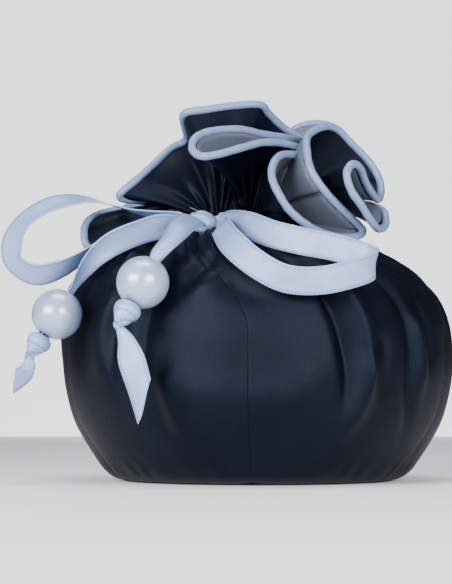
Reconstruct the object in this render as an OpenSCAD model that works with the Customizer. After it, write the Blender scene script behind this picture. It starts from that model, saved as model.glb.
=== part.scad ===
// Drawstring gift pouch: six satin gores with a wadded lining, a stiffened round base, a gathered
// neck with a ribbon casing, a piped frill above it, and one ribbon tied in a bow, with a pearl
// bead held by a knot on each tail.
// Frame: millimetres, +Z up, front towards -Y, origin at the centre of the base on the table.

/* [Body] */
// Diameter of the body at its widest
body_d = 98; // [94:1:102]
// Diameter of the flat round base
base_d = 69; // [66:1:70]
// Angle of the front seam, where 270 is straight ahead
front_seam = 267; // [260:1:275]

/* [Neck] */
// Diameter of the gathered neck
neck_d = 24; // [23:0.5:25]
// Height of the casing's lower stitch row
casing_z = 58; // [57:0.5:59]
// Height of the casing between its stitch rows
casing_h = 7; // [6.8:0.1:7.5]
// Angle round the neck where the ribbon leaves the casing
exit_angle = 234; // [228:1:240]

/* [Cloth] */
// Thickness of the outer satin
satin_t = 0.4; // [0.3:0.05:0.5]
// Thickness of the wadding
wadding_t = 1.7; // [1.2:0.1:1.7]
// Thickness of the satin lining
lining_t = 0.3; // [0.2:0.05:0.4]
// Thickness of each bunched layer in the neck
bunch_t = 1.4; // [1.2:0.1:1.4]
// Diameter of the piping along the frill
piping_d = 2.2; // [2:0.1:2.4]

/* [Ribbon and beads] */
// Width of the ribbon
ribbon_w = 6.35; // [6:0.05:6.5]
// Thickness of the ribbon
ribbon_t = 0.4; // [0.3:0.05:0.5]
// Diameter of the pearl beads
bead_d = 12; // [11:0.5:12]
// Diameter of the hole through a bead
bead_hole_d = 3; // [2.8:0.1:3.2]

/* [Hidden] */
$fn = 64;

body_r = body_d / 2;
base_r = base_d / 2;
neck_r = neck_d / 2;
neck_c = [-4, -2];               // the gathers pull the neck to the front left
casing_top = casing_z + casing_h;
gap = 0.1;                       // clearance between neighbouring layers

GORES = 6;
GORE_COLS = 14;                  // columns of the grid in one gore
COLS = GORES * GORE_COLS;
EXIT_COL = 2 * GORE_COLS;        // the front seam, where the ribbon comes out
exit_half = 7;                   // half the gap in that seam, in degrees
neck_turn = exit_angle - front_seam;
first_seam = front_seam - 120;

// The body's outline from the base to the casing, [radius, height].
outline = [
    [base_r, 0], [38, 3.4], [43.2, 9.6], [47.4, 19], [body_r, 31], [47.9, 41], [44.6, 50],
    [35, 55.8], [22, 58.6], [neck_r, casing_z]];
BODY_ROWS = len(outline) - 1;
NECK_ROW = BODY_ROWS + 1;        // the top of the casing
FRILL_ROWS = 3;
ROWS = NECK_ROW + FRILL_ROWS;
WADDED_ROWS = 6;                 // the wadding stops on the shoulder
first_pulled = 4;                // rows above this one are pulled towards the neck's centre

// The frill's edge, fold by fold: [angle about the neck, radius, height].
frill = [
    [75, 29, 84], [95, 15, 87], [115, 29, 79], [133, 15, 82], [151, 32, 74], [167, 16, 76],
    [184, 37, 64], [203, 17, 86], [222, 18, 91.6], [246, 18, 92.4], [262, 14, 88], [276, 27, 86],
    [289, 15, 84], [303, 27, 80], [316, 15, 82], [331, 31, 82], [346, 16, 82], [362, 32, 75],
    [379, 16, 84], [396, 30, 84], [416, 15, 88], [435, 29, 84], [455, 15, 87], [475, 29, 79]];

function unit(v) = v / norm(v);
function smooth(x) = let(u = min(1, max(0, x))) u * u * (3 - 2 * u);
function mix(a, b, f) = a + (b - a) * f;
function polar(r, a, c = [0, 0]) = [c[0] + r * cos(a), c[1] + r * sin(a)];
function wrap(a) = a < frill[0][0] ? a + 360 : a;
function fold_at(a) = [for (k = [0:len(frill) - 2]) if (frill[k][0] <= a && a < frill[k + 1][0]) k][0];
function edge_rz(a) =
    let(k = fold_at(a), f = smooth((a - frill[k][0]) / (frill[k + 1][0] - frill[k][0])))
    [mix(frill[k][1], frill[k + 1][1], f), mix(frill[k][2], frill[k + 1][2], f)];

// The outer face at column i and row j. Side is +1 or -1 on a gore's first or last column.
function seam_gap(side, i) = i % COLS == EXIT_COL ? side * exit_half : 0;
function neck_angle(i) = first_seam + neck_turn + i * 360 / COLS;
function body_point(i, j, side) =
    let(f = smooth((j - first_pulled) / (BODY_ROWS - first_pulled)),
        a = first_seam + i * 360 / COLS + neck_turn * f + (j == BODY_ROWS ? seam_gap(side, i) : 0),
        p = polar(outline[j][0], a, neck_c * f))
    [p[0], p[1], outline[j][1]];
function neck_point(i, side) =
    let(p = polar(neck_r, neck_angle(i) + seam_gap(side, i), neck_c)) [p[0], p[1], casing_top];
function edge_point(i) =
    let(a = neck_angle(i % COLS), e = edge_rz(wrap(a > 435 ? a - 360 : a)), p = polar(e[0], a, neck_c))
    [p[0], p[1], e[1]];
rise = 9;                        // how far the frill climbs before it opens out
hem = piping_d / 2 + 0.75;       // the cloth stops this far from the piping's centre
function frill_point(i, j) =
    let(a = neck_point(i, 0),
        e = edge_point(i),
        b = [mix(a[0], e[0], 0.2), mix(a[1], e[1], 0.2), a[2] + rise],
        w = j / FRILL_ROWS * (1 - hem / (2 * norm(e - b))))
    a * pow(1 - w, 2) + b * 2 * w * (1 - w) + e * w * w;
function face_point(i, j, side = 0) =
    j <= BODY_ROWS ? body_point(i, j, side) : j == NECK_ROW ? neck_point(i, side) : frill_point(i, j - NECK_ROW);

// The outward normal there, and the point at a given depth under the face.
function face_normal(i, j) =
    let(k = i % COLS,
        along = face_point(k + 1, j) - face_point(k + COLS - 1, j),
        up = face_point(k, min(j + 1, ROWS)) - face_point(k, max(j - 1, 0)))
    unit(cross(along, up));
function neck_normal(i, side) = let(a = neck_angle(i) + seam_gap(side, i)) [cos(a), sin(a), 0];
function bunched(j) = j == BODY_ROWS || j == NECK_ROW;
function under(i, j, side, d) =
    face_point(i, j, side) - (bunched(j) ? neck_normal(i, side) : face_normal(i, j)) * d;

// How deep each layer's faces lie at row j.
casing_w = 1;                    // room for the ribbon between the two bunched layers
function satin_back(j) = bunched(j) ? bunch_t : satin_t;
function lining_face(j) =
    bunched(j) ? bunch_t + casing_w : j > NECK_ROW ? satin_t + gap : satin_t + wadding_t + 2 * gap;
function lining_back(j) = lining_face(j) + (bunched(j) ? bunch_t : lining_t);

// A closed sheet of cloth over columns c0 to c1 and rows 0 to r1, between two depths per row.
module sheet(c0, c1, r1, depth_a, depth_b) {
    nc = c1 - c0 + 1;
    side = function(i) i == c0 ? 1 : i == c1 ? -1 : 0;
    front = [for (j = [0:r1]) for (i = [c0:c1]) under(i, j, side(i), depth_a[j])];
    rear = [for (j = [0:r1]) for (i = [c0:c1]) under(i, j, side(i), depth_b[j])];
    n = nc * (r1 + 1);
    quad = function(a, b, c, d) [[a, b, c], [a, c, d]];
    faces = [
        for (j = [0:r1 - 1]) for (i = [0:nc - 2]) let(a = j * nc + i)
            each concat(quad(a, a + nc, a + nc + 1, a + 1),
                        quad(n + a, n + a + 1, n + a + nc + 1, n + a + nc)),
        for (i = [0:nc - 2]) let(t = r1 * nc + i)
            each concat(quad(i, i + 1, n + i + 1, n + i), quad(t, n + t, n + t + 1, t + 1)),
        for (j = [0:r1 - 1]) let(a = j * nc, b = a + nc - 1)
            each concat(quad(a, n + a, n + a + nc, a + nc), quad(b, b + nc, n + b + nc, n + b))];
    polyhedron(concat(front, rear), faces);
}

module outer_panel(k) {
    color("#1c2540")
        sheet((k - 1) * GORE_COLS, k * GORE_COLS, ROWS,
              [for (j = [0:ROWS]) 0], [for (j = [0:ROWS]) satin_back(j)]);
}

module wadding_panel(k) {
    a = satin_t + gap;
    color("#eeeeea")
        sheet((k - 1) * GORE_COLS, k * GORE_COLS, WADDED_ROWS,
              [for (j = [0:WADDED_ROWS]) a], [for (j = [0:WADDED_ROWS]) a + wadding_t]);
}

module lining_panel(k) {
    color("#b9c2d4")
        sheet((k - 1) * GORE_COLS, k * GORE_COLS, ROWS,
              [for (j = [0:ROWS]) lining_face(j)], [for (j = [0:ROWS]) lining_back(j)]);
}

// The round base, from the table up: satin, board, wadding, lining.
board_z = 0.5;
board_t = 0.8;
base_wadding_z = board_z + board_t + gap;
base_wadding_t = 0.8;
lining_z = base_wadding_z + base_wadding_t + gap;

module outer_base() {
    color("#1c2540") cylinder(h = satin_t, r = base_r - 0.6);
}

module base_board() {
    color("#c9b48c") translate([0, 0, board_z]) cylinder(h = board_t, r = base_r - 1.6);
}

module base_wadding() {
    color("#eeeeea") translate([0, 0, base_wadding_z]) cylinder(h = base_wadding_t, r = base_r - 2.2);
}

module lining_base() {
    color("#b9c2d4") translate([0, 0, lining_z]) cylinder(h = lining_t, r = base_r - 2.2);
}

// A row of running stitches round the neck.
module casing_stitches(z) {
    stitches = 24;
    pitch = 360 / stitches;
    thread_d = 0.4;
    color("#10162a")
        translate([neck_c[0], neck_c[1], z])
            for (k = [0:stitches - 1])
                if (abs((k + 0.3) * pitch - exit_angle) > exit_half + pitch / 2)
                    rotate([0, 0, k * pitch])
                        rotate_extrude(angle = pitch * 0.6)
                            translate([neck_r + 0.05, -thread_d / 2]) square([thread_d, thread_d]);
}

module casing_stitches_lower() {
    casing_stitches(casing_z + 0.3);
}

module casing_stitches_upper() {
    casing_stitches(casing_top - 0.3);
}

// Sweeps a closed section of [across, down] points round the frill's edge.
function edge_frame(i) =
    let(p = edge_point(i),
        t = unit(edge_point(i + 1) - edge_point(i + COLS - 1)),
        d0 = frill_point(i % COLS, FRILL_ROWS) - p,
        d = unit(d0 - t * (d0 * t)))
    [p, cross(t, d), d];
module around_edge(section) {
    m = len(section);
    points = [for (i = [0:COLS - 1]) let(f = edge_frame(i)) for (s = section) f[0] + f[1] * s[0] + f[2] * s[1]];
    faces = [for (i = [0:COLS - 1]) for (k = [0:m - 1])
        let(a = i * m + k, b = i * m + (k + 1) % m, c = ((i + 1) % COLS) * m + k, d = ((i + 1) % COLS) * m + (k + 1) % m)
            each [[a, b, d], [a, d, c]]];
    polyhedron(points, faces);
}

module piping_cover() {
    r = piping_d / 2;
    inner = r - 0.3;
    mouth = 36;                  // half the mouth that takes the cloth's edge, in degrees
    turn = 360 - 2 * mouth;
    color("#c6d2e6")
        around_edge([
            for (k = [0:6]) let(a = 90 + mouth + turn * k / 6) [r * cos(a), r * sin(a)],
            for (k = [0:4]) let(a = 90 - mouth - turn * k / 4) [inner * cos(a), inner * sin(a)]]);
}

module piping_cord() {
    r = piping_d / 2 - 0.55;
    color("#f2f2ee") around_edge([for (k = [0:5]) [r * cos(60 * k), r * sin(60 * k)]]);
}

// The bow's knot, a wrapped barrel in front of the gap.
knot_r = 4;
knot_h = 7.6;
knot_at = [neck_c[0] + (neck_r + 0.8 + knot_r) * cos(exit_angle),
           neck_c[1] + (neck_r + 0.8 + knot_r) * sin(exit_angle), 62.8];
module barrel(r, h) {
    e = r * 0.5;
    rotate_extrude()
        polygon([[0, -h / 2], [r - e, -h / 2], [r - e * 0.3, -h / 2 + e * 0.3], [r, -h / 2 + e],
                 [r, h / 2 - e], [r - e * 0.3, h / 2 - e * 0.3], [r - e, h / 2], [0, h / 2]]);
}

module bow_knot() {
    color("#b4c5e1") translate(knot_at) barrel(knot_r, knot_h);
}

// Sweeps a flat ribbon along a route of stations: [point, direction of its width, width, thickness].
STEPS = 3;
function spline(a, b, c, d, f) =
    0.5 * (2 * b + (c - a) * f + (2 * a - 5 * b + 4 * c - d) * f * f + (3 * b - a - 3 * c + d) * f * f * f);
function station(route, k, f, q) =
    let(n = len(route), a = route[max(k - 1, 0)][q], b = route[k][q], c = route[k + 1][q], d = route[min(k + 2, n - 1)][q])
    spline(a, b, c, d, f);
function fine(route, q) =
    [for (k = [0:len(route) - 2]) for (s = [0:STEPS - 1]) station(route, k, s / STEPS, q),
     route[len(route) - 1][q]];
module ribbon(route) {
    p = fine(route, 0);
    across = fine(route, 1);
    wide = fine(route, 2);
    thick = fine(route, 3);
    n = len(p);
    ring = function(i)
        let(t = unit(p[min(i + 1, n - 1)] - p[max(i - 1, 0)]),
            a = unit(across[i]) * wide[i] / 2,
            b = unit(cross(t, across[i])) * thick[i] / 2)
        [p[i] - a - b, p[i] + a - b, p[i] + a + b, p[i] - a + b];
    points = [for (i = [0:n - 1]) each ring(i)];
    e = (n - 1) * 4;
    faces = [
        [0, 2, 1], [0, 3, 2], [e, e + 1, e + 2], [e, e + 2, e + 3],
        for (i = [0:n - 2]) for (k = [0:3]) let(a = i * 4 + k, b = i * 4 + (k + 1) % 4)
            each [[a, b, b + 4], [a, b + 4, a + 4]]];
    polyhedron(points, [for (f = faces) [f[2], f[1], f[0]]]);
}

w = ribbon_w;
t = ribbon_t;
tuck = 2;                        // width of a ribbon gathered into a knot
left_loop_route = [
    [[-19.4, -17, 63.4], [0, -0.3, 1], tuck, t], [[-24, -17, 64.4], [0, -0.9, 0.4], 5, t],
    [[-30, -16, 65.8], [0, -1, 0.1], w, t], [[-36, -15, 67.6], [-0.1, -1, -0.1], w, t],
    [[-43, -14.5, 69], [0.1, -0.9, -0.4], w, t], [[-50, -15, 68.2], [0.35, -0.75, -0.5], w, t],
    [[-56, -16, 65], [0.55, -0.6, -0.4], w, t], [[-59.6, -17, 60.4], [0.75, -0.6, -0.15], w, t],
    [[-60.2, -18, 55.3], [0.8, -0.6, 0.1], w, t], [[-58.2, -19, 51.8], [0.5, -0.65, 0.5], w, t],
    [[-53.7, -20, 50], [0.2, -0.7, 0.65], w, t], [[-48, -20.5, 51.4], [0, -0.8, 0.6], w, t],
    [[-42, -20.5, 54.6], [-0.05, -0.9, 0.4], w, t], [[-35.7, -20, 58.4], [-0.1, -0.95, 0.2], w, t],
    [[-28.9, -19, 61], [-0.05, -1, 0], w, t], [[-23.6, -18, 62.2], [0, -1, -0.1], 5, t],
    [[-19.4, -17.6, 61.6], [0, -0.9, -0.4], tuck, t]];
right_loop_route = [
    [[-9.2, -19, 63], [0.1, 0.3, 1], tuck, t], [[-6.8, -25.5, 62.4], [0.05, 0.25, 1], 5.4, t],
    [[-2.8, -33.2, 60.6], [0.05, 0.2, 1], w, t], [[2.8, -39.4, 57.8], [0.03, 0.15, 1], w, t],
    [[9.5, -42.6, 55.8], [0, 0.1, 1], w, t], [[17, -43.6, 54.2], [0.05, 0.1, 1], w, t],
    [[23, -43.6, 52.4], [0.1, 0.05, 1], w, t], [[25.8, -46.6, 50.4], [0.1, 0, 1], w, t],
    [[22.5, -49.6, 48.4], [0.05, -0.1, 1], w, t], [[13.6, -51, 46.2], [0, -0.15, 1], w, t],
    [[5.3, -50.8, 46.6], [0.2, -0.15, 1], w, t], [[-1.6, -48.6, 50.4], [0.4, -0.1, 0.9], w, t],
    [[-7, -42.6, 55.8], [0.5, 0.1, 0.85], w, t], [[-9.4, -31, 60.6], [0.6, 0.3, 0.7], 5.4, t],
    [[-9.8, -20.4, 61.6], [0.6, 0.3, 0.7], tuck, t]];

core = 1.5;                      // the ribbon bunched to pass through a bead
left_bead = [-48.1, -27.1, 40];
front_bead = [-26.8, -46.9, 46];
left_bore = unit([-0.5, -0.2, -0.82]);
front_bore = unit([-0.42, -0.36, -0.82]);
stop_h = 6;
stop_r = 3;
bead_to_knot = bead_d / 2 + stop_h / 2 + 0.2; // from a bead's centre to the middle of its knot
reach = bead_to_knot - stop_h / 2;
function through(c, v, across) = [
    [c - v * 8, across, core, core], [c - v * 5, across, core, core],
    [c, across, core, core], [c + v * reach, across, core, core]];
left_tail_route = concat([
    [[-17.6, -20.2, 61.4], [0.1, -0.1, 1], tuck, t], [[-23, -23.4, 61.4], [0, -0.2, 1], 6, t],
    [[-28.8, -26, 59.6], [-0.2, -0.3, 1], w, t], [[-35, -28, 56.6], [-0.4, -0.5, 0.9], w, t],
    [[-39.4, -28.6, 52.8], [-0.6, -0.6, 0.7], 4, t]],
    through(left_bead, left_bore, [0.2, 0.9, -0.2]));
front_tail_route = concat([
    [[-14.6, -21, 63], [0.9, 0, -0.5], tuck, t], [[-16, -26.4, 62.8], [0.9, 0, -0.5], 6, t],
    [[-18.2, -33.6, 60.4], [0.9, -0.2, -0.4], w, t], [[-20.2, -40, 56.8], [0.9, -0.3, -0.4], 5, t]],
    through(front_bead, front_bore, [0.9, -0.2, -0.4]));
left_knot = left_bead + left_bore * bead_to_knot;
front_knot = front_bead + front_bore * bead_to_knot;
past = stop_h / 2 + 0.9;         // where a ribbon end starts below its knot
left_end_route = [
    [left_knot + left_bore * past, [1, 0.2, 0], 1.2, t], [[-55, -29.9, 27.2], [0.9, 0.3, -0.15], 3.2, t],
    [[-56.2, -30, 25.6], [0.55, 0.5, -0.7], 5, t], [[-59.4, -30, 23.4], [0.4, 0.45, -0.85], 5.8, t]];
front_end_route = [
    [front_knot + front_bore * past, [1, 0, 0.1], 1.2, t], [[-30.9, -52, 32.2], [1, -0.2, 0.2], 4, t],
    [[-29.3, -52.2, 28], [0.95, -0.4, 0.25], w, t], [[-27.6, -52.3, 22.4], [0.92, -0.45, 0.28], w, t],
    [[-26.4, -52.3, 18], [0.6, -0.3, 0.8], 7.6, t]];

// The ribbon's way round the neck inside the casing, its two ends coming out at the front seam, and
// the strand that lies along the front of the neck from the knot.
strand_route = [
    [[-9.8, -17.4, 63.4], [0, 0.2, 1], 3, t], [[-6, -17, 63.2], [0, 0.2, 1], 4.6, t],
    [[-1, -15.9, 62.6], [0, 0.2, 1], 4.6, t], [[3.6, -13.6, 61.6], [0, 0.2, 1], 3.4, t]];
module ribbon_in_casing() {
    r = neck_r - bunch_t - casing_w / 2;
    out_r = neck_r + 0.5;
    strand = 0.75;               // half the distance between the two ends in the gap
    turn = asin(strand / r);
    color("#b4c5e1") ribbon(strand_route);
    color("#b4c5e1")
        translate([neck_c[0], neck_c[1], casing_z + (casing_h - ribbon_w) / 2])
            rotate([0, 0, exit_angle]) {
                rotate([0, 0, turn])
                    rotate_extrude(angle = 360 - 2 * turn)
                        translate([r - ribbon_t / 2, 0]) square([ribbon_t, ribbon_w]);
                for (s = [-1, 1])
                    translate([r - ribbon_t / 2, s * strand - ribbon_t / 2, 0])
                        cube([out_r - r + ribbon_t, ribbon_t, ribbon_w]);
            }
}

module left_loop() {
    color("#b4c5e1") ribbon(left_loop_route);
}

module right_loop() {
    color("#b4c5e1") ribbon(right_loop_route);
}

module left_tail() {
    color("#b4c5e1") ribbon(left_tail_route);
}

module front_tail() {
    color("#b4c5e1") ribbon(front_tail_route);
}

// Turns the Z axis into the given direction.
module aim(v) {
    rotate([0, acos(v[2]), atan2(v[1], v[0])]) children();
}

module pearl(c, v) {
    color("#e3e6ec")
        translate(c)
            aim(v)
                rotate_extrude()
                    intersection() {
                        circle(d = bead_d);
                        translate([bead_hole_d / 2, -bead_d]) square([bead_d, bead_d * 2]);
                    }
}

module left_pearl() {
    pearl(left_bead, left_bore);
}

module front_pearl() {
    pearl(front_bead, front_bore);
}

module left_stopper_knot() {
    color("#b4c5e1") translate(left_knot) aim(left_bore) barrel(stop_r, stop_h);
}

module front_stopper_knot() {
    color("#b4c5e1") translate(front_knot) aim(front_bore) barrel(stop_r, stop_h);
}

module left_ribbon_end() {
    color("#b4c5e1") ribbon(left_end_route);
}

module front_ribbon_end() {
    color("#b4c5e1") ribbon(front_end_route);
}

for (k = [1:GORES]) {
    outer_panel(k);
    wadding_panel(k);
    lining_panel(k);
}
outer_base();
base_board();
base_wadding();
lining_base();
casing_stitches_lower();
casing_stitches_upper();
piping_cover();
piping_cord();
ribbon_in_casing();
bow_knot();
left_loop();
right_loop();
left_tail();
front_tail();
left_pearl();
front_pearl();
left_stopper_knot();
front_stopper_knot();
left_ribbon_end();
front_ribbon_end();
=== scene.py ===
"""Drawstring gift pouch: satin gores, gathered neck, piped frill, ribbon bow and pearl beads."""
import math

import bpy
import numpy as np
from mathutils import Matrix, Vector


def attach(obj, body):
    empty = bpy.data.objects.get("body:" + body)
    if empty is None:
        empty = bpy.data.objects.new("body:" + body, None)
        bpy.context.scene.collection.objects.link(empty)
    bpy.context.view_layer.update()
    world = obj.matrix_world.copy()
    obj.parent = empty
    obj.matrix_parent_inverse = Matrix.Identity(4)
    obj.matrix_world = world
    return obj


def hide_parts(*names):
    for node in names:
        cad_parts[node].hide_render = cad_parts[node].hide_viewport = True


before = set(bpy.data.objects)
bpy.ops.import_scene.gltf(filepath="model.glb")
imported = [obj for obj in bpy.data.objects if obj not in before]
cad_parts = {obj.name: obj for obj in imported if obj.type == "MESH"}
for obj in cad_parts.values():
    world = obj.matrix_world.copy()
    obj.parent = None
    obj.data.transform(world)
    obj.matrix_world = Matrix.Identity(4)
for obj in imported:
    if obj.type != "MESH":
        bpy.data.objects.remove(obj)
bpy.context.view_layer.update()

MM = 0.001
SHORTEST = 1e-12

# ---------------------------------------------------------------- camera
CAMERA_AT = Vector((-8.0, -425.0, 16.0)) * MM
CAMERA_LOOK = Vector((-8.0, 0.0, 47.3)) * MM


def aim(obj, at, look):
    """Put a camera or light into the scene at one point, turned towards another."""
    obj.location = at
    obj.rotation_euler = (Vector(look) - Vector(at)).to_track_quat("-Z", "Y").to_euler()
    bpy.context.scene.collection.objects.link(obj)


camera_data = bpy.data.cameras.new("camera")
camera_data.sensor_fit = "VERTICAL"
camera_data.sensor_height = 36.0
camera_data.lens = 103.5
camera = bpy.data.objects.new("camera", camera_data)
aim(camera, CAMERA_AT, CAMERA_LOOK)
bpy.context.scene.camera = camera


# ---------------------------------------------------------------- helpers
def unit(vectors):
    """Unit vectors along the last axis."""
    vectors = np.asarray(vectors, float)
    return vectors / np.maximum(np.linalg.norm(vectors, axis=-1, keepdims=True), SHORTEST)


def smooth(x):
    """An eased step from 0 at x = 0 to 1 at x = 1."""
    u = np.clip(x, 0, 1)
    return u * u * (3 - 2 * u)


def spline(points, t, closed=False):
    """Catmull-Rom through the points at parameters t, counted in points."""
    p = np.asarray(points, float)
    n = len(p)
    t = np.asarray(t, float)
    k = np.floor(t).astype(int)
    if not closed:
        k = np.clip(k, 0, n - 2)
    f = (t - k)[:, None]

    def at(i):
        return p[i % n] if closed else p[np.clip(i, 0, n - 1)]

    a, b, c, d = at(k - 1), at(k), at(k + 1), at(k + 2)
    linear = (c - a) * f
    squared = (2 * a - 5 * b + 4 * c - d) * f ** 2
    cubed = (3 * b - a - 3 * c + d) * f ** 3
    return 0.5 * (2 * b + linear + squared + cubed)


def outward(grid):
    """Unit normals of a grid whose columns close round the pouch."""
    return unit(np.cross(np.roll(grid, -1, 1) - np.roll(grid, 1, 1), np.gradient(grid, axis=0)))


def running_length(grid, axis):
    """Mean length from the first row or column to each one, and to the one that would follow the last."""
    steps = np.linalg.norm(np.diff(grid, axis=axis), axis=-1).mean(1 - axis)
    run = np.concatenate([[0], np.cumsum(steps)])
    return np.append(run, 2 * run[-1] - run[-2])


def grid_object(name, grid, close_cols=False, close_rows=False, attrs=None):
    """A mesh object from a (rows, cols, 3) grid of millimetre points, with UVs in millimetres along it."""
    rows, cols, _ = grid.shape
    row_starts = np.arange(rows if close_rows else rows - 1)
    col_starts = np.arange(cols if close_cols else cols - 1)
    r, c = np.meshgrid(row_starts, col_starts, indexing="ij")
    next_r, next_c = (r + 1) % rows, (c + 1) % cols
    corners = [r * cols + c, r * cols + next_c, next_r * cols + next_c, next_r * cols + c]
    faces = np.stack(corners, -1).reshape(-1, 4)
    mesh = bpy.data.meshes.new(name)
    mesh.vertices.add(rows * cols)
    mesh.vertices.foreach_set("co", (grid * MM).astype(np.float32).ravel())
    mesh.loops.add(len(faces) * 4)
    mesh.loops.foreach_set("vertex_index", faces.astype(np.int32).ravel())
    mesh.polygons.add(len(faces))
    mesh.polygons.foreach_set("loop_start", np.arange(0, len(faces) * 4, 4, dtype=np.int32))
    mesh.update(calc_edges=True)
    along = running_length(grid, 0)
    across = running_length(grid, 1)
    u = np.stack([c, c + 1, c + 1, c], -1).reshape(-1)
    v = np.stack([r, r, r + 1, r + 1], -1).reshape(-1)
    uv = np.stack([across[u], along[v]], -1).astype(np.float32)
    mesh.uv_layers.new(name="cloth").data.foreach_set("uv", uv.ravel())
    for key, values in (attrs or {}).items():
        attribute = mesh.attributes.new(key, "FLOAT", "POINT")
        attribute.data.foreach_set("value", values.astype(np.float32).ravel())
    mesh.polygons.foreach_set("use_smooth", np.ones(len(faces), dtype=bool))
    obj = bpy.data.objects.new(name, mesh)
    bpy.context.scene.collection.objects.link(obj)
    return obj


def solidify(obj, thickness, offset):
    """Give a sheet its thickness: inwards at an offset of -1, to both sides at 0."""
    modifier = obj.modifiers.new("thickness", "SOLIDIFY")
    modifier.thickness = thickness * MM
    modifier.offset = offset
    graph = bpy.context.evaluated_depsgraph_get()
    mesh = bpy.data.meshes.new_from_object(obj.evaluated_get(graph))
    obj.modifiers.clear()
    obj.data = mesh
    return obj


def join(target, pieces):
    """Join the pieces, the target among them, into the target."""
    with bpy.context.temp_override(active_object=target, selected_editable_objects=pieces, object=target):
        bpy.ops.object.join()


def set_material(obj, material):
    """Make a material the piece's only one."""
    obj.data.materials.clear()
    obj.data.materials.append(material)


# ---------------------------------------------------------------- materials
def scaled(color, factor):
    """A darker or lighter colour, kept within 1."""
    return tuple(min(1.0, factor * channel) for channel in color)


class Nodes:
    """A material's node tree with short calls."""

    def __init__(self, name):
        self.mat = bpy.data.materials.new(name)
        self.mat.use_nodes = True
        self.tree = self.mat.node_tree
        self.bsdf = self.tree.nodes["Principled BSDF"]
        self.coords = self.add("ShaderNodeTexCoord")

    def add(self, kind, **props):
        """A new node, each value set on its input of that name or else on the node."""
        node = self.tree.nodes.new(kind)
        for key, value in props.items():
            if key in node.inputs:
                node.inputs[key].default_value = value
            else:
                setattr(node, key, value)
        return node

    def link(self, a, b):
        self.tree.links.new(a, b)

    def attribute(self, name):
        return self.add("ShaderNodeAttribute", attribute_name=name).outputs["Fac"]

    def noise(self, scale, detail, roughness=0.5):
        node = self.add("ShaderNodeTexNoise", Scale=scale, Detail=detail, Roughness=roughness)
        self.link(self.coords.outputs["Object"], node.inputs["Vector"])
        return node.outputs["Fac"]

    def math(self, op, *values):
        node = self.add("ShaderNodeMath", operation=op)
        for socket, value in zip(node.inputs, values):
            if isinstance(value, (int, float)):
                socket.default_value = value
            else:
                self.link(value, socket)
        return node.outputs[0]

    def mix(self, fac, a, b):
        """Colour a where fac is 0 and b where it is 1; each may be a colour or another node's output."""
        node = self.add("ShaderNodeMix", data_type="RGBA")
        if isinstance(fac, float):
            node.inputs["Factor"].default_value = fac
        else:
            self.link(fac, node.inputs["Factor"])
        for name, value in (("A", a), ("B", b)):
            socket = [s for s in node.inputs if s.name == name and s.type == "RGBA"][0]
            if isinstance(value, tuple):
                socket.default_value = (*value, 1)
            else:
                self.link(value, socket)
        return [s for s in node.outputs if s.type == "RGBA"][0]

    def ramp(self, fac, lo, hi):
        """0 where fac is lo or less, rising to 1 where it is hi or more."""
        node = self.add("ShaderNodeMapRange")
        node.inputs["From Min"].default_value = lo
        node.inputs["From Max"].default_value = hi
        self.link(fac, node.inputs["Value"])
        return node.outputs["Result"]

    def bump(self, height, distance, strength, normal=None):
        node = self.add("ShaderNodeBump")
        node.inputs["Distance"].default_value = distance
        node.inputs["Strength"].default_value = strength
        self.link(height, node.inputs["Height"])
        if normal is not None:
            self.link(normal, node.inputs["Normal"])
        return node.outputs["Normal"]

    def finish(self, color, roughness, normal, **sockets):
        self.link(color, self.bsdf.inputs["Base Color"])
        if isinstance(roughness, float):
            self.bsdf.inputs["Roughness"].default_value = roughness
        else:
            self.link(roughness, self.bsdf.inputs["Roughness"])
        self.link(normal, self.bsdf.inputs["Normal"])
        for key, value in sockets.items():
            self.bsdf.inputs[key.replace("_", " ")].default_value = value
        return self.mat


RADIANS_PER_METRE = 2000.0 * math.pi  # of a wave one millimetre long
WAVE_SCALE = 20.0  # radians that the wave texture turns for each unit of its scale


def satin(name, light, dark, rough, weave_mm, sheen=0.0, coarse=0.5, gloss=0.5, tint=(1, 1, 1)):
    """Satin: fine ribs weave_mm apart, grain of depth coarse, slow colour drift and darker seams."""
    n = Nodes(name)
    drift = n.noise(scale=90.0, detail=4.0)
    grain = n.noise(scale=2600.0, detail=2.0, roughness=0.7)
    tone = n.mix(n.ramp(drift, 0.3, 0.7), dark, light)
    speck = n.mix(n.ramp(grain, 0.35, 0.75), scaled(dark, 0.75), scaled(light, 1.3))
    color = n.mix(0.35, tone, speck)
    color = n.mix(n.attribute("seam"), color, scaled(dark, 0.25))
    rib_scale = RADIANS_PER_METRE / weave_mm / WAVE_SCALE
    ribs = n.add("ShaderNodeTexWave", Scale=rib_scale, Distortion=1.5, Detail=2.0)
    ribs.inputs["Detail Scale"].default_value = 2.0
    n.link(n.coords.outputs["Object"], ribs.inputs["Vector"])
    height = n.math("ADD", n.math("MULTIPLY", ribs.outputs["Fac"], 0.5), n.math("MULTIPLY", grain, coarse))
    fine = n.bump(height, distance=0.00006, strength=0.6)
    soft = n.bump(n.noise(scale=420.0, detail=3.0), distance=0.00025, strength=0.25, normal=fine)
    drift_depth = 0.12
    rough_varied = n.math("ADD", n.math("MULTIPLY", drift, drift_depth), rough - drift_depth / 2)
    return n.finish(color, rough_varied, soft, Sheen_Weight=sheen, Sheen_Roughness=0.35,
                    Specular_IOR_Level=gloss, Specular_Tint=(*tint, 1), Sheen_Tint=(*light, 1))


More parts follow.
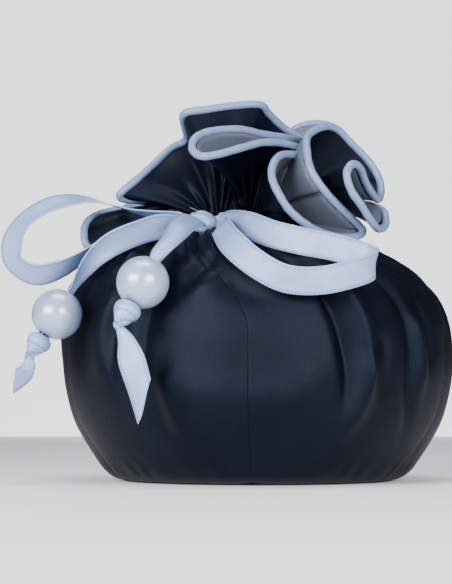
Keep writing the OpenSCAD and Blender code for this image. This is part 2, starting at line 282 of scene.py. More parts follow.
NAVY = satin("navy_satin", light=(0.0024, 0.0031, 0.0085), dark=(0.0008, 0.0010, 0.0034), rough=0.49,
             weave_mm=0.35, coarse=1.5, gloss=0.15, tint=(0.56, 0.70, 1.0))
SILVER = satin("silver_satin", light=(0.105, 0.12, 0.16), dark=(0.075, 0.083, 0.115), rough=0.42,
               weave_mm=0.35, gloss=0.3)
PIPING = satin("piping_satin", light=(0.165, 0.235, 0.41), dark=(0.13, 0.185, 0.33), rough=0.34,
               weave_mm=0.30)
WADDING = satin("wadding", light=(0.85, 0.85, 0.83), dark=(0.75, 0.75, 0.72), rough=0.95,
                weave_mm=1.2, sheen=0.3, coarse=2.0)
FILLER = satin("filler_cord", light=(0.85, 0.84, 0.80), dark=(0.72, 0.71, 0.66), rough=0.9,
               weave_mm=0.6, sheen=0.2)
THREAD = satin("navy_thread", light=(0.012, 0.014, 0.028), dark=(0.006, 0.007, 0.015), rough=0.6,
               weave_mm=0.2)


def ribbon_material():
    """Satin ribbon: fine cross ribs, a row of stitches woven along each edge, and a slow drift of its blue
    that is partly its own uneven tone and partly painted sheen.
    """
    stitch_mm = 0.8
    rib_mm = 0.22
    n = Nodes("ribbon_satin")
    across = n.attribute("across")
    along = n.attribute("along")
    drift = n.noise(scale=160.0, detail=3.0)
    grain = n.noise(scale=2400.0, detail=2.0, roughness=0.7)
    outer = n.math("ABSOLUTE", across)
    edge = n.math("MULTIPLY", n.ramp(outer, 0.70, 0.78), n.ramp(outer, 0.94, 0.86))
    stitch = n.math("SINE", n.math("MULTIPLY", along, 2 * math.pi / stitch_mm))
    cross_rib = n.math("SINE", n.math("MULTIPLY", along, 2 * math.pi / rib_mm))
    # The slow drift between a darker and a lighter blue is partly the ribbon's own uneven tone and partly
    # painted sheen: streaks of light like those its folds would catch.
    color = n.mix(n.ramp(drift, 0.3, 0.7), (0.17, 0.25, 0.48), (0.24, 0.345, 0.63))
    color = n.mix(n.math("MULTIPLY", n.ramp(grain, 0.3, 0.8), 0.35), color, (0.40, 0.51, 0.78))
    thread = n.math("ADD", n.math("MULTIPLY", n.ramp(stitch, -0.3, 0.7), 0.6), 0.4)
    shade = n.math("MULTIPLY", n.math("MULTIPLY", edge, thread), 0.85)
    color = n.mix(shade, color, (0.12, 0.15, 0.24))
    height = n.math("MULTIPLY", edge, n.math("MULTIPLY", stitch, 0.8))
    height = n.math("ADD", height, n.math("MULTIPLY", cross_rib, 0.3))
    height = n.math("ADD", height, n.math("MULTIPLY", grain, 0.6))
    fine = n.bump(height, distance=0.00005, strength=0.6)
    normal = n.bump(n.noise(scale=300.0, detail=2.0), distance=0.0003, strength=0.3, normal=fine)
    return n.finish(color, 0.32, normal, Specular_IOR_Level=0.75)


def pearl_material():
    """Pearl: a cloudy pale blue under a clear coat that softens the highlight."""
    n = Nodes("pearl_coat")
    cloud = n.noise(scale=140.0, detail=3.0)
    fine = n.noise(scale=900.0, detail=2.0)
    color = n.mix(n.ramp(cloud, 0.35, 0.65), (0.25, 0.32, 0.50), (0.33, 0.40, 0.58))
    normal = n.bump(fine, distance=0.00002, strength=0.3)
    rough = n.math("ADD", n.math("MULTIPLY", cloud, 0.06), 0.26)
    return n.finish(color, rough, normal, Coat_Weight=1.0, Coat_Roughness=0.29, Coat_IOR=1.9,
                    Specular_IOR_Level=0.9)


def board_material():
    """Grey-brown board with fine flecks."""
    n = Nodes("grey_board")
    fleck = n.noise(scale=700.0, detail=5.0, roughness=0.7)
    color = n.mix(n.ramp(fleck, 0.35, 0.65), (0.36, 0.29, 0.19), (0.52, 0.44, 0.31))
    return n.finish(color, 0.9, n.bump(fleck, distance=0.00008, strength=0.5))


RIBBON = ribbon_material()
PEARL = pearl_material()
BOARD = board_material()

# ---------------------------------------------------------------- the cloth's shape, in millimetres
GORES = 6
COLS_PER_GORE = 150
COLS = GORES * COLS_PER_GORE
BODY_ROWS = 110
NECK_ROWS = 8
FRILL_ROWS = 34
ALL_ROWS = BODY_ROWS + NECK_ROWS + FRILL_ROWS
FIRST_SEAM = 147.0
FRONT_ANGLE = 270
NECK_CENTRE = np.array([-4.0, -2.0])
NECK_R = 12.0
CASING_TOP = 65.0

# Body outline from the base seam to the casing on the fuller left and the flatter right: [radius, height].
LEFT_OUTLINE = [[33.6, 0.1], [36.2, 0.8], [39, 3.3], [43.2, 9.4], [46.4, 15.6], [48.5, 24], [49, 31],
                [48.6, 39], [46.8, 46], [42.5, 51.6], [34, 55.6], [23, 59], [12.6, 60]]
RIGHT_OUTLINE = [[33.6, 0.1], [36.2, 0.8], [39, 3.3], [43.2, 9.4], [46.4, 15.6], [48.5, 24], [49, 31],
                 [48.2, 39], [45.6, 46], [40.2, 52], [32, 57.2], [22, 61], [12.6, 61]]
# The outline's point, counted from the base, from which the columns draw in towards the neck.
DRAW_IN_FROM = 6.5

# The frill's edge anticlockwise from the back.
EDGE = [
    [-2, 24, 79], [-6, 27, 79], [-11, 29, 77], [-15, 28, 76], [-18, 24, 76], [-17, 19, 78],
    [-16, 15, 79], [-19, 13, 79], [-24, 14, 77], [-29, 15, 74], [-33, 13, 71], [-34, 9, 70],
    [-31, 5, 70], [-28, 2, 69], [-27, -1, 67], [-29, -4, 64], [-33, -8, 60], [-38, -12, 57],
    [-42, -14, 57.5], [-43, -13, 61], [-42.5, -10, 64], [-40.5, -7, 66], [-37, -4, 67.5], [-32, -1, 68.5],
    [-28, 0, 69.5], [-29, -4, 70], [-33, -7, 70], [-34.5, -9, 71], [-30, -9, 75], [-26, -7, 79],
    [-22, -3, 83.5], [-18, -4, 86],
    [-18.5, -15, 90], [-12.5, -17, 91], [-5.5, -17, 92], [0.5, -15, 92.5], [2.5, -12, 91], [6.5, -8, 88],
    [12, -6, 85], [6.5, -14, 84.5], [1, -19, 84.5], [-4.5, -23, 85], [-11, -27, 84], [-15, -30, 82],
    [-16, -32, 79], [-14, -33, 77], [-10, -32, 77.5], [-4.5, -29, 79.5], [1, -25, 81.5], [6.5, -20, 82],
    [11, -16, 81], [9.5, -19, 79.5], [5.5, -25, 78.5], [3.4, -29, 76], [2.8, -32, 72.2], [4.4, -33.2, 68],
    [7, -33.2, 64], [11, -31.8, 60.8], [15.4, -28.8, 59], [20, -26, 58.4], [23.5, -23.5, 59], [25, -22, 60.5],
    [22.5, -24, 63], [19, -26, 66], [15.5, -27.5, 69.5], [12.5, -27.5, 74], [11.5, -25, 79], [12, -20, 84],
    [16, -15, 87], [19.5, -12, 87], [23.5, -10, 83.5], [27.5, -9, 79.5], [30, -9, 75.5], [30.5, -11, 72],
    [29.5, -15, 69], [27.5, -19, 70], [25.5, -23, 72.5], [24, -27, 75], [22, -30, 75.5], [20.5, -32, 73],
    [21.5, -32, 69], [24, -31, 65.5], [26.5, -29, 62], [28.5, -26, 60.5], [30.5, -22, 62], [30.5, -18, 65.5],
    [28, -14, 67.5], [24.5, -8, 69.5], [22, -3, 73], [24.5, 1, 78], [26, 5, 83], [22.5, 9, 89],
    [17, 9, 92], [10.5, 10, 91], [6, 14, 86], [3, 20, 81]]
# The neck angle under some of the edge's points: [point, angle].
NECK_ANGLES = [[0, 117], [32, 237], [39, 258], [51, 283], [61, 303], [70, 322], [80, 345], [89, 372],
               [96, 477]]

# Folds of the body: [depth out of the surface, half width or those of its left and right sides,
# [[angle right of the front, height], ...]].
FOLDS = [
    [-3.3, (1.8, 3.0), [[6, 57], [13, 51], [18.6, 44], [22, 36], [23.8, 28], [24.2, 20], [23, 11]]],
    [1.4, 2.7, [[31, 31], [29.4, 22], [26, 14.5], [22.6, 9]]],
    [1.6, 2.8, [[15, 54], [23, 47], [28, 39], [30, 30], [29.5, 20], [26, 13]]],
    [1.5, 5.2, [[-38, 29], [-27, 22.5], [-14, 20], [0, 19.5], [10, 21], [17, 26], [20, 36]]],
    [-0.7, 2.0, [[34.5, 36], [35, 27], [33.5, 18]]],
    [-1.3, (1.6, 2.6), [[30, 57], [39, 49], [44, 40], [45.5, 32], [46, 22], [48, 14], [51, 7]]],
    [1.0, 2.4, [[48, 41], [51, 33], [51.5, 25], [49.5, 16]]],
    [-1.2, 2.4, [[50, 47], [55, 36], [55, 24]]],
    [1.1, 3.0, [[54, 53], [63, 45], [67, 34]]],
    [-1.1, 3.0, [[60, 56], [70, 47], [74, 34]]],
    [-1.5, 1.9, [[-32, 56], [-41, 48], [-44.5, 39], [-45, 29], [-43, 18]]],
    [1.0, 3.0, [[-42, 46], [-50, 36], [-50, 23]]],
    [-0.8, 4.0, [[-56, 48], [-60, 36], [-59, 20]]],
    [-1.2, 2.2, [[-27, 48], [-32, 40], [-33.5, 32], [-32.5, 24], [-29.5, 16], [-27.5, 11]]],
    [0.9, 2.6, [[-26, 27], [-26, 20], [-24, 14], [-22.5, 10]]],
    [-1.2, 1.6, [[-8, 57], [-13, 53], [-20, 47], [-27, 41]]],
    [0.8, 2.2, [[-6, 53], [-12, 48], [-19, 42]]],
    [-0.9, 3.0, [[-10, 48.5], [-6, 45], [-1, 43.5], [4, 44.5]]],
]
BACK_FOLDS = 9
BACK_FOLD_START = 106
BACK_FOLD_STEP = 19
for k in range(BACK_FOLDS):
    at = BACK_FOLD_START + BACK_FOLD_STEP * k
    valley = [[at - 8, 57], [at, 46], [at + 3, 34], [at + 1, 20 + 3 * (k % 3)]]
    ridge = [[at + 6, 55], [at + 12, 44], [at + 13, 26]]
    FOLDS.append([-2.2 + 0.3 * (k % 3), 2.2 + 0.3 * (k % 2), valley])
    FOLDS.append([1.3, 3.2, ridge])


def fold_field(angle, z, radius):
    """Sum of all folds at points given by angle right of the front, height and radius."""
    radius = np.maximum(radius, 30)
    total = np.zeros_like(z)
    for depth, half, path in FOLDS:
        fine = spline(path, np.linspace(0, len(path) - 1, 5 * len(path)))
        left_half, right_half = half if isinstance(half, tuple) else (half, half)
        best = np.full(z.shape, 1e9)
        side = np.zeros_like(z)
        ease = np.zeros_like(z)
        for j in range(len(fine) - 1):
            (a0, h0), (a1, h1) = fine[j], fine[j + 1]
            x = (((angle - a0 + 180) % 360) - 180) * math.pi / 180 * radius
            y = z - h0
            step_x = math.radians(a1 - a0) * radius
            step_y = h1 - h0
            along = np.clip((x * step_x + y * step_y) / (step_x ** 2 + step_y ** 2), 0, 1)
            across = x - along * step_x
            distance = np.hypot(across, y - along * step_y)
            near = distance < best
            best[near] = distance[near]
            side[near] = across[near]
            share = (j + along[near]) / (len(fine) - 1)
            ease[near] = smooth(share * 4 + 0.1) * smooth((1 - share) * 2.2)
        total += depth * ease * np.exp(-(best / np.where(side > 0, right_half, left_half)) ** 2)
    return total


def waves(fraction, count, seed):
    """Uneven waves round the pouch at fractions of the way round, with the given mean count."""
    random = np.random.default_rng(seed)
    phase = 2 * math.pi * count * fraction
    for k in range(1, 6):
        swing = random.uniform(0.3, 1.1)
        phase = phase + swing * np.sin(2 * math.pi * k * 3 * fraction + random.uniform(0, 6.28))
    return np.sin(phase)


def under_folds(lift):
    """The lowest nearby value everywhere, eased, so an inner layer stays under the outer one's folds."""
    low = lift
    for shift, axis in ((1, 1), (2, 1), (4, 1), (5, 1), (1, 0), (2, 0)):
        low = np.minimum(low, np.minimum(np.roll(low, shift, axis), np.roll(low, -shift, axis)))
    for _ in range(6):
        low = (low + np.roll(low, 2, 1) + np.roll(low, -2, 1)) / 3
    return low


# Each column's fraction of the way round, with the columns spread where a gore's middle is and bunched
# at its seams; the point of the frill's edge above it; and its angle round the neck.
GORE_FRACTION = np.arange(COLS_PER_GORE) / COLS_PER_GORE
BUNCHED = GORE_FRACTION - 0.11 * np.sin(2 * math.pi * GORE_FRACTION)
ROUND = (np.arange(GORES)[:, None] + BUNCHED[None]).ravel() / GORES
EDGE_POINT = ROUND * len(EDGE)
NECK_ANGLE = np.radians(np.interp(EDGE_POINT, *np.array(NECK_ANGLES, float).T))
FINE_GATHERS = waves(ROUND, 62, 11)
# Each column's distance to the nearest seam as a fraction of the way round.
SEAM_FRACTION = np.abs(((ROUND * GORES + 0.5) % 1) - 0.5) / GORES

# Gathers of the body: [depth, waves round the pouch and seed, height where they start, height that they
# grow over].
BODY_GATHERS = [[0.55, (34, 3), 46, 11], [0.35, (17, 5), 36, 22], [0.3, (62, 11), 51, 7]]
# Where the frill dips at its folds: [depth, the edge's point at its middle, half width in points].
FRILL_DIPS = [[5.5, 27, 5], [10, 60, 4.5]]
# The middle of the frill's curve: height above its foot, and share of the way out to its edge.
FRILL_RISE = 8
FRILL_SPREAD = np.array([0.22, 0.22, 0])
FRILL_LENGTH_ROUND = 300


def smooth_body():
    """The body's face before any folds, and the angle of each of its points."""
    t = np.linspace(0, len(LEFT_OUTLINE) - 1, BODY_ROWS)
    left, right = spline(LEFT_OUTLINE, t), spline(RIGHT_OUTLINE, t)
    even = np.radians(FIRST_SEAM + 360 * ROUND)
    share = (1 + np.cos(even)) / 2
    outline = left[:, None] * (1 - share)[None, :, None] + right[:, None] * share[None, :, None]
    radius, height = outline[..., 0], outline[..., 1]
    pull = smooth((t - DRAW_IN_FROM) / (len(LEFT_OUTLINE) - 1 - DRAW_IN_FROM))[:, None]
    # The side seams lie a little towards the back, by 7 degrees at the base and 13 from 20 mm up.
    side_shift = np.radians(7 + 6 * smooth(height / 20)) * np.cos(even)[None]
    body_angle = even[None] + side_shift
    turn = (NECK_ANGLE[None] - body_angle + math.pi) % (2 * math.pi) - math.pi
    angle = body_angle + turn * pull
    x = NECK_CENTRE[0] * pull + radius * np.cos(angle)
    y = NECK_CENTRE[1] * pull + radius * np.sin(angle)
    return np.stack([x, y, height], -1), angle


SMOOTH_BODY, BODY_ANGLE = smooth_body()
BODY_RADIUS = np.hypot(SMOOTH_BODY[..., 0], SMOOTH_BODY[..., 1])
SEAM_DISTANCE = SEAM_FRACTION * 2 * math.pi * BODY_RADIUS


def folds_and_gathers():
    """How far the body's folds and gathers lift its face."""
    z = SMOOTH_BODY[..., 2]
    gathers = np.zeros_like(z)
    for depth, count_and_seed, start, grow in BODY_GATHERS:
        gathers = gathers + depth * waves(ROUND, *count_and_seed)[None] * smooth((z - start) / grow)
    front = np.degrees(BODY_ANGLE) - FRONT_ANGLE
    lift = fold_field(front, z, BODY_RADIUS) * smooth((60 - z) / 5) + gathers
    return lift * smooth((z - 1.0) / 5)


def cloth_grid(lift, detail):
    """A face of the cloth from the base seam to under the piping, as (rows, cols, 3).

    lift moves the body's face outwards; detail scales the fine gathers of the neck and the frill."""
    z = SMOOTH_BODY[..., 2]
    puckers = 0.1 * waves(ROUND, 44, 21)[None] * np.exp(-((z - 3.2) / 1.8) ** 2)
    seam_dip = 0.06 * np.exp(-(SEAM_DISTANCE / 0.3) ** 2) + 0.2 * np.exp(-(SEAM_DISTANCE / 2.6) ** 2)
    lift = lift + puckers - seam_dip
    body = SMOOTH_BODY + outward(SMOOTH_BODY) * lift[..., None]

    foot_z = body[-1, :, 2]
    neck = []
    for k in range(1, NECK_ROWS + 1):
        f = k / NECK_ROWS
        r = NECK_R + 0.3 * math.sin(math.pi * f) + 0.6 * FINE_GATHERS * detail
        x = NECK_CENTRE[0] + r * np.cos(NECK_ANGLE)
        y = NECK_CENTRE[1] + r * np.sin(NECK_ANGLE)
        neck.append(np.stack([x, y, foot_z + f * (CASING_TOP - foot_z)], -1))

    edge = spline(EDGE, EDGE_POINT, closed=True)
    base = neck[-1]
    rise = base[:, 2] + FRILL_RISE
    for depth, middle, half in FRILL_DIPS:
        rise = rise - depth * np.exp(-((EDGE_POINT - middle) / half) ** 2)
    mid = base + (edge - base) * FRILL_SPREAD
    mid[:, 2] = rise + 0.25 * np.maximum(edge[:, 2] - 67, 0)
    w = (np.arange(1, FRILL_ROWS + 1) / FRILL_ROWS)[:, None, None]
    frill = base[None] * (1 - w) ** 2 + mid[None] * 2 * w * (1 - w) + edge[None] * w ** 2
    sideways = unit(np.roll(edge, -1, 0) - np.roll(edge, 1, 0))
    flat = unit(np.cross(sideways, edge - base))
    foot_crumple = 0.45 * FINE_GATHERS[None] * (1 - w[..., 0]) ** 2
    crumple = foot_crumple + 0.5 * waves(ROUND, 30, 13)[None] * (w * (1 - w) * 2)[..., 0]
    frill = frill + flat[None] * crumple[..., None] * detail
    return np.concatenate([body, np.array(neck), frill])


def seam_marks():
    """How dark each point is for the seam that it lies on, from 0 to 1."""
    body = 0.8 * np.exp(-(SEAM_DISTANCE / 0.16) ** 2)
    above = np.exp(-(SEAM_FRACTION * FRILL_LENGTH_ROUND / 0.5) ** 2)
    return np.concatenate([body, np.tile(above, (NECK_ROWS + FRILL_ROWS, 1))])


LIFT = folds_and_gathers()
SEAM = seam_marks()
# The outer satin's face, and the calmer one that the inner layers follow, each with its normals.
CLOTH = cloth_grid(LIFT, 1.0)
CALM = cloth_grid(under_folds(LIFT), 0.15)
CLOTH_FACE = (CLOTH, outward(CLOTH))
CALM_FACE = (CALM, outward(CALM))


def layer_depth(body, neck, frill, frill_edge=None):
    """Depth under the face for each row; the frill's eases from its foot to its edge."""
    edge = frill if frill_edge is None else frill_edge
    w = np.linspace(0, 1, FRILL_ROWS)
    frill_rows = edge + (frill - edge) * (1 - w) ** 1.5
    return np.concatenate([np.full(BODY_ROWS, body), np.full(NECK_ROWS, neck), frill_rows])


def ease_rows(depth, width):
    """Running mean of the depths over width rows to each side."""
    kernel = np.ones(2 * width + 1) / (2 * width + 1)
    return np.convolve(np.pad(depth, width, mode="edge"), kernel, mode="valid")


OUTER_DEPTH = layer_depth(0, 0, 0)
OUTER_THICK = 0.35
LINING_DEPTH = ease_rows(layer_depth(2.5, 2.4, 1.1, 0.5), 3)
LINING_THICK = 0.25
WADDING_DEPTH = layer_depth(0.9, 0.9, 0.9)
WADDING_THICK = 1.2
WADDING_ROWS = 64
INNER_STEP = 2


def gore(name, k, material, node, face, depth, thickness, rows=ALL_ROWS, step=1):
    """One gore of one layer: columns between two seams, at a depth under a face of the cloth."""
    grid, normal = face
    cols = np.arange((k - 1) * COLS_PER_GORE, k * COLS_PER_GORE + 1, step) % COLS
    pick = np.arange(0, rows, step)
    points = grid[pick][:, cols] - normal[pick][:, cols] * depth[pick][:, None, None]
    obj = grid_object(name, points, attrs={"seam": SEAM[pick][:, cols]})
    solidify(obj, thickness, -1.0)
    set_material(obj, material)
    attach(obj, "pouch")
    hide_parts(node)
    return obj


for k in range(1, GORES + 1):
    outer = gore(f"outer_gore_{k}", k, NAVY, f"outer_panel_{k}",
                 CLOTH_FACE, OUTER_DEPTH, OUTER_THICK)
    lining = gore(f"lining_gore_{k}", k, SILVER, f"lining_panel_{k}",
                  CALM_FACE, LINING_DEPTH, LINING_THICK, step=INNER_STEP)
    wadding = gore(f"wadding_gore_{k}", k, WADDING, f"wadding_panel_{k}",
                   CALM_FACE, WADDING_DEPTH, WADDING_THICK, WADDING_ROWS, INNER_STEP)

# ---------------------------------------------------------------- piping
PIPING_R = 0.96
FILLER_R = 0.7
PIPING_POINTS = 1400


def tube(name, line, radius, sides):
    """A closed round tube along a line of millimetre points."""
    tangent = unit(np.roll(line, -1, 0) - np.roll(line, 1, 0))
    up = np.tile(np.array([0.13, 0.21, 0.97]), (len(line), 1))
    a = unit(np.cross(tangent, up))
    b = np.cross(a, tangent)
    radius = np.broadcast_to(radius, len(line))
    turn = np.linspace(0, 2 * math.pi, sides, endpoint=False)
    ring = a[:, None] * np.cos(turn)[None, :, None] + b[:, None] * np.sin(turn)[None, :, None]
    points = line[:, None] + radius[:, None, None] * ring
    return grid_object(name, points, close_cols=True, close_rows=True)


piping_round = np.arange(PIPING_POINTS) / PIPING_POINTS
piping_line = spline(EDGE, piping_round * len(EDGE), closed=True)
puckered = PIPING_R * (1 + 0.03 * waves(piping_round, 150, 31) + 0.02 * waves(piping_round, 60, 32))
piping = tube("piping_cover_satin", piping_line, puckered, 16)
set_material(piping, PIPING)
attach(piping, "pouch")
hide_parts("piping_cover")
filler = tube("piping_filler", piping_line[::2], FILLER_R, 8)
set_material(filler, FILLER)
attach(filler, "pouch")
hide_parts("piping_cord")

# ---------------------------------------------------------------- ribbons
RIBBON_W = 6.35
RIBBON_T = 0.28
STEPS_PER_POINT = 10
RIBBON_COLS = 13
# A route's width where the ribbon lies open.
FULL = RIBBON_W


def ribbon(name, route, nodes=(), slant=0.0):
    """A flat ribbon along a route of [x, y, z, width direction x, y, z, width, cup].

    slant is the share of its length by which one edge is cut shorter: the edge on the width direction's
    side if it is above 0, and the other one if it is below."""
    route = np.array(route, float)
    steps = (len(route) - 1) * STEPS_PER_POINT + 1
    t = np.linspace(0, len(route) - 1, steps)
    sides = np.linspace(-1, 1, RIBBON_COLS)
    line = spline(route, t)[:, :3]
    columns = []
    lengths = []
    for side in sides:
        cut = t * (1 - abs(slant) * (1 + side * np.sign(slant)) / 2)
        fine = spline(route, cut)
        at = fine[:, :3]
        tangent = unit(np.gradient(at, axis=0))
        wide = unit(fine[:, 3:6])
        wide = unit(wide - tangent * np.sum(wide * tangent, -1, keepdims=True))
        normal = unit(np.cross(tangent, wide))
        bow = (1 - side ** 2) * fine[:, 7:8] * normal
        ripple = 0.22 * np.sin(cut * 2.3)[:, None] * side * normal
        columns.append(at + wide * side * fine[:, 6:7] / 2 + bow + ripple)
        lengths.append(np.concatenate([[0], np.cumsum(np.linalg.norm(np.diff(at, axis=0), axis=1))]))
    obj = grid_object(name, np.stack(columns, 1),
                      attrs={"across": np.tile(sides, (steps, 1)), "along": np.stack(lengths, 1)})
    solidify(obj, RIBBON_T, 0.0)
    set_material(obj, RIBBON)
    if nodes:
        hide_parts(*nodes)
    return obj


LEFT_LOOP = [
    [-19.4, -17, 63.4, 0, -0.3, 1, 4, 0.4], [-24, -17, 64.4, 0, -0.9, 0.4, 5, 0.3],
    [-30, -16, 65.8, 0, -1, 0.1, FULL, 0], [-36, -15, 67.6, -0.1, -1, -0.1, FULL, 0],
    [-43, -14.5, 69, 0.1, -0.9, -0.4, FULL, 0], [-50, -15, 68.2, 0.35, -0.75, -0.5, FULL, 0],
    [-56, -16, 65, 0.55, -0.6, -0.4, FULL, 0], [-59.6, -17, 60.4, 0.75, -0.6, -0.15, FULL, 0],
    [-60.2, -18, 55.3, 0.8, -0.6, 0.1, FULL, 0], [-58.2, -19, 51.8, 0.5, -0.65, 0.5, FULL, 0],
    [-53.7, -20, 50, 0.2, -0.7, 0.65, FULL, 0], [-48, -20.5, 51.4, 0, -0.8, 0.6, FULL, 0],
    [-42, -20.5, 54.6, -0.05, -0.9, 0.4, FULL, 0], [-35.7, -20, 58.4, -0.1, -0.95, 0.2, FULL, 0],
    [-28.9, -19, 61, -0.05, -1, 0, FULL, 0], [-23.6, -18, 62.2, 0, -1, -0.1, 5, 0.2],
    [-19.4, -17.6, 61.6, 0, -0.9, -0.4, 4, 0.4]]
RIGHT_LOOP = [
    [-9.2, -19, 63, 0.1, 0.3, 1, 4, 0.4], [-6.8, -25.5, 62.4, 0.05, 0.25, 1, 5.4, 0.2],
    [-2.8, -33.2, 60.6, 0.05, 0.2, 1, FULL, 0], [2.8, -39.4, 57.8, 0.03, 0.15, 1, FULL, 0],
    [9.5, -42.6, 55.8, 0, 0.1, 1, FULL, 0], [17, -43.6, 54.2, 0.05, 0.1, 1, FULL, 0],
    [23, -43.6, 52.4, 0.1, 0.05, 1, FULL, 0], [25.8, -46.6, 50.4, 0.1, 0, 1, FULL, 0],
    [22.5, -49.6, 48.4, 0.05, -0.1, 1, FULL, 0], [13.6, -51, 46.2, 0, -0.15, 1, FULL, 0],
    [5.3, -50.8, 46.6, 0.2, -0.15, 1, FULL, 0], [-1.6, -48.6, 50.4, 0.4, -0.1, 0.9, FULL, 0],
    [-7, -42.6, 55.8, 0.5, 0.1, 0.85, FULL, 0], [-9.4, -31, 60.6, 0.6, 0.3, 0.7, 5.4, 0.2],
    [-9.8, -20.4, 61.6, 0.6, 0.3, 0.7, 4, 0.4]]
LEFT_BEAD = np.array([-48.1, -27.1, 40.0])
FRONT_BEAD = np.array([-26.8, -46.9, 46.0])
LEFT_BORE = unit([-0.5, -0.2, -0.82])
FRONT_BORE = unit([-0.42, -0.36, -0.82])
BEAD_TO_KNOT = 9.0


def tail_route(lead, bead_at, bore, wide):
    """A tail's route to its bead, bunched through the hole, and out to the stopper knot."""
    above, entry, leaving = -8.5, -5, BEAD_TO_KNOT - 2.5
    through = [[*(bead_at + bore * above), *wide, 3.6, 0.9], [*(bead_at + bore * entry), *wide, 1.9, 0.7],
               [*bead_at, *wide, 1.8, 0.6], [*(bead_at + bore * leaving), *wide, 1.9, 0.6]]
    return lead + through


LEFT_TAIL = tail_route([
    [-17.6, -20.2, 61.4, 0.1, -0.1, 1, 4, 0.4], [-23, -23.4, 61.4, 0, -0.2, 1, 6, 0.2],
    [-28.8, -26, 59.6, -0.2, -0.3, 1, 6, 0.2], [-35, -28, 56.6, -0.4, -0.5, 0.9, 6, 0.5],
    [-39.4, -28.6, 52.8, -0.6, -0.6, 0.7, 4.8, 0.8]], LEFT_BEAD, LEFT_BORE, [-0.3, -0.9, 0.3])
FRONT_TAIL = tail_route([
    [-14.6, -21, 63, 0.9, 0, -0.5, 4, 0.4], [-16, -26.4, 62.8, 0.9, 0, -0.5, 6, 0.4],
    [-18.2, -33.6, 60.4, 0.9, -0.2, -0.4, 5.8, 0.8],
    [-20.2, -40, 56.8, 0.9, -0.3, -0.4, 4.9, 1.0]], FRONT_BEAD, FRONT_BORE, [0.9, -0.2, -0.4])
LEFT_KNOT = LEFT_BEAD + LEFT_BORE * BEAD_TO_KNOT
FRONT_KNOT = FRONT_BEAD + FRONT_BORE * BEAD_TO_KNOT
LEFT_END = [
    [-54.3, -29.7, 29.3, 1, 0.2, 0, 2.2, 0.3], [-54.5, -29.8, 27.4, 0.9, 0.3, -0.15, 3.2, 0.3],
    [-55.8, -29.9, 25.6, 0.55, 0.5, -0.7, 5, 0.1], [-59.4, -29.9, 23.4, 0.4, 0.45, -0.85, 5.8, 0]]
FRONT_END = [
    [-31.7, -51.4, 35.4, 1, 0, 0.1, 1.6, 0.3], [-30.2, -51.6, 32.6, 1, -0.2, 0.2, 4, 0.4],
    [-29, -51.8, 28.4, 0.95, -0.4, 0.25, FULL, 0.1], [-27, -51.9, 21.8, 0.92, -0.45, 0.28, FULL, 0],
    [-24.9, -51.9, 14.9, 0.9, -0.45, 0.3, FULL, 0]]

left_loop = ribbon("left_loop_ribbon", LEFT_LOOP, ["left_loop"])
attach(left_loop, "left_loop")
right_loop = ribbon("right_loop_ribbon", RIGHT_LOOP, ["right_loop"])
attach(right_loop, "right_loop")
left_tail = ribbon("left_tail_ribbon", LEFT_TAIL, ["left_tail"])
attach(left_tail, "left_tail")
front_tail = ribbon("front_tail_ribbon", FRONT_TAIL, ["front_tail"])
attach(front_tail, "front_tail")
left_end = ribbon("left_end_ribbon", LEFT_END, ["left_ribbon_end"], slant=-0.3)
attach(left_end, "left_end")
front_end = ribbon("front_end_ribbon", FRONT_END, ["front_ribbon_end"], slant=0.3)
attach(front_end, "front_end")

# ---------------------------------------------------------------- beads
BEAD_R = 6.0
HOLE_R = 1.5
RIM = 0.25


def bead(name, centre, bore, body, node):
    """A pearl with a drilled hole whose rims are slightly rounded."""
    start = math.asin(HOLE_R / BEAD_R)
    a = np.linspace(start, math.pi - start, 44)
    outside = np.stack([BEAD_R * np.sin(a), BEAD_R * np.cos(a)], -1)
    mouth = BEAD_R * math.cos(start)
    hole = np.stack([[HOLE_R - RIM * 0.2, HOLE_R - RIM * 0.3, HOLE_R - RIM * 0.3, HOLE_R - RIM * 0.2],
                     [-mouth + 0.05, -mouth + 0.5, mouth - 0.5, mouth - 0.05]], -1)
    profile = np.concatenate([outside, hole])
    turn = np.linspace(0, 2 * math.pi, 72, endpoint=False)
    z = np.array(bore)
    x = unit(np.cross(z, [0, 1, 0.1]))
    y = np.cross(z, x)
    ring = np.cos(turn)[None, :, None] * x + np.sin(turn)[None, :, None] * y
    points = centre + profile[:, None, 0:1] * ring - profile[:, None, 1:2] * z
    obj = grid_object(name, points, close_cols=True, close_rows=True)
    set_material(obj, PEARL)
    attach(obj, body)
    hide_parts(node)


bead("left_pearl_bead", LEFT_BEAD, LEFT_BORE, "left_pearl", "left_pearl")
bead("front_pearl_bead", FRONT_BEAD, FRONT_BORE, "front_pearl", "front_pearl")

# ---------------------------------------------------------------- knots
KNOT_FACING = (0.1, -1, 0)
STUB_SET_BACK = 1.2
STUB_INNER_W = 2.4


def spindle_radius(v, radius, taper):
    """A knot's radius at v from -1 to 1 along it, drawn in at both ends and more so at the far one."""
    return radius * np.sqrt(np.clip(1 - np.abs(v) ** 2.6, 0, 1)) * (1 - taper * v) + 0.2


def stub(name, route, centre):
    """The short length of ribbon from a route's first point back into a knot."""
    start, after = np.array(route[0], float), np.array(route[1], float)
    ahead = unit(after[:3] - start[:3])
    near = start.copy()
    near[:3] = start[:3] - ahead * 0.12
    back = start.copy()
    back[:3] = start[:3] - ahead * STUB_SET_BACK
    inside = start.copy()
    inside[:3] = centre + (start[:3] - centre) * 0.45
    inside[6] = STUB_INNER_W
    return ribbon(name, [near, back, inside])


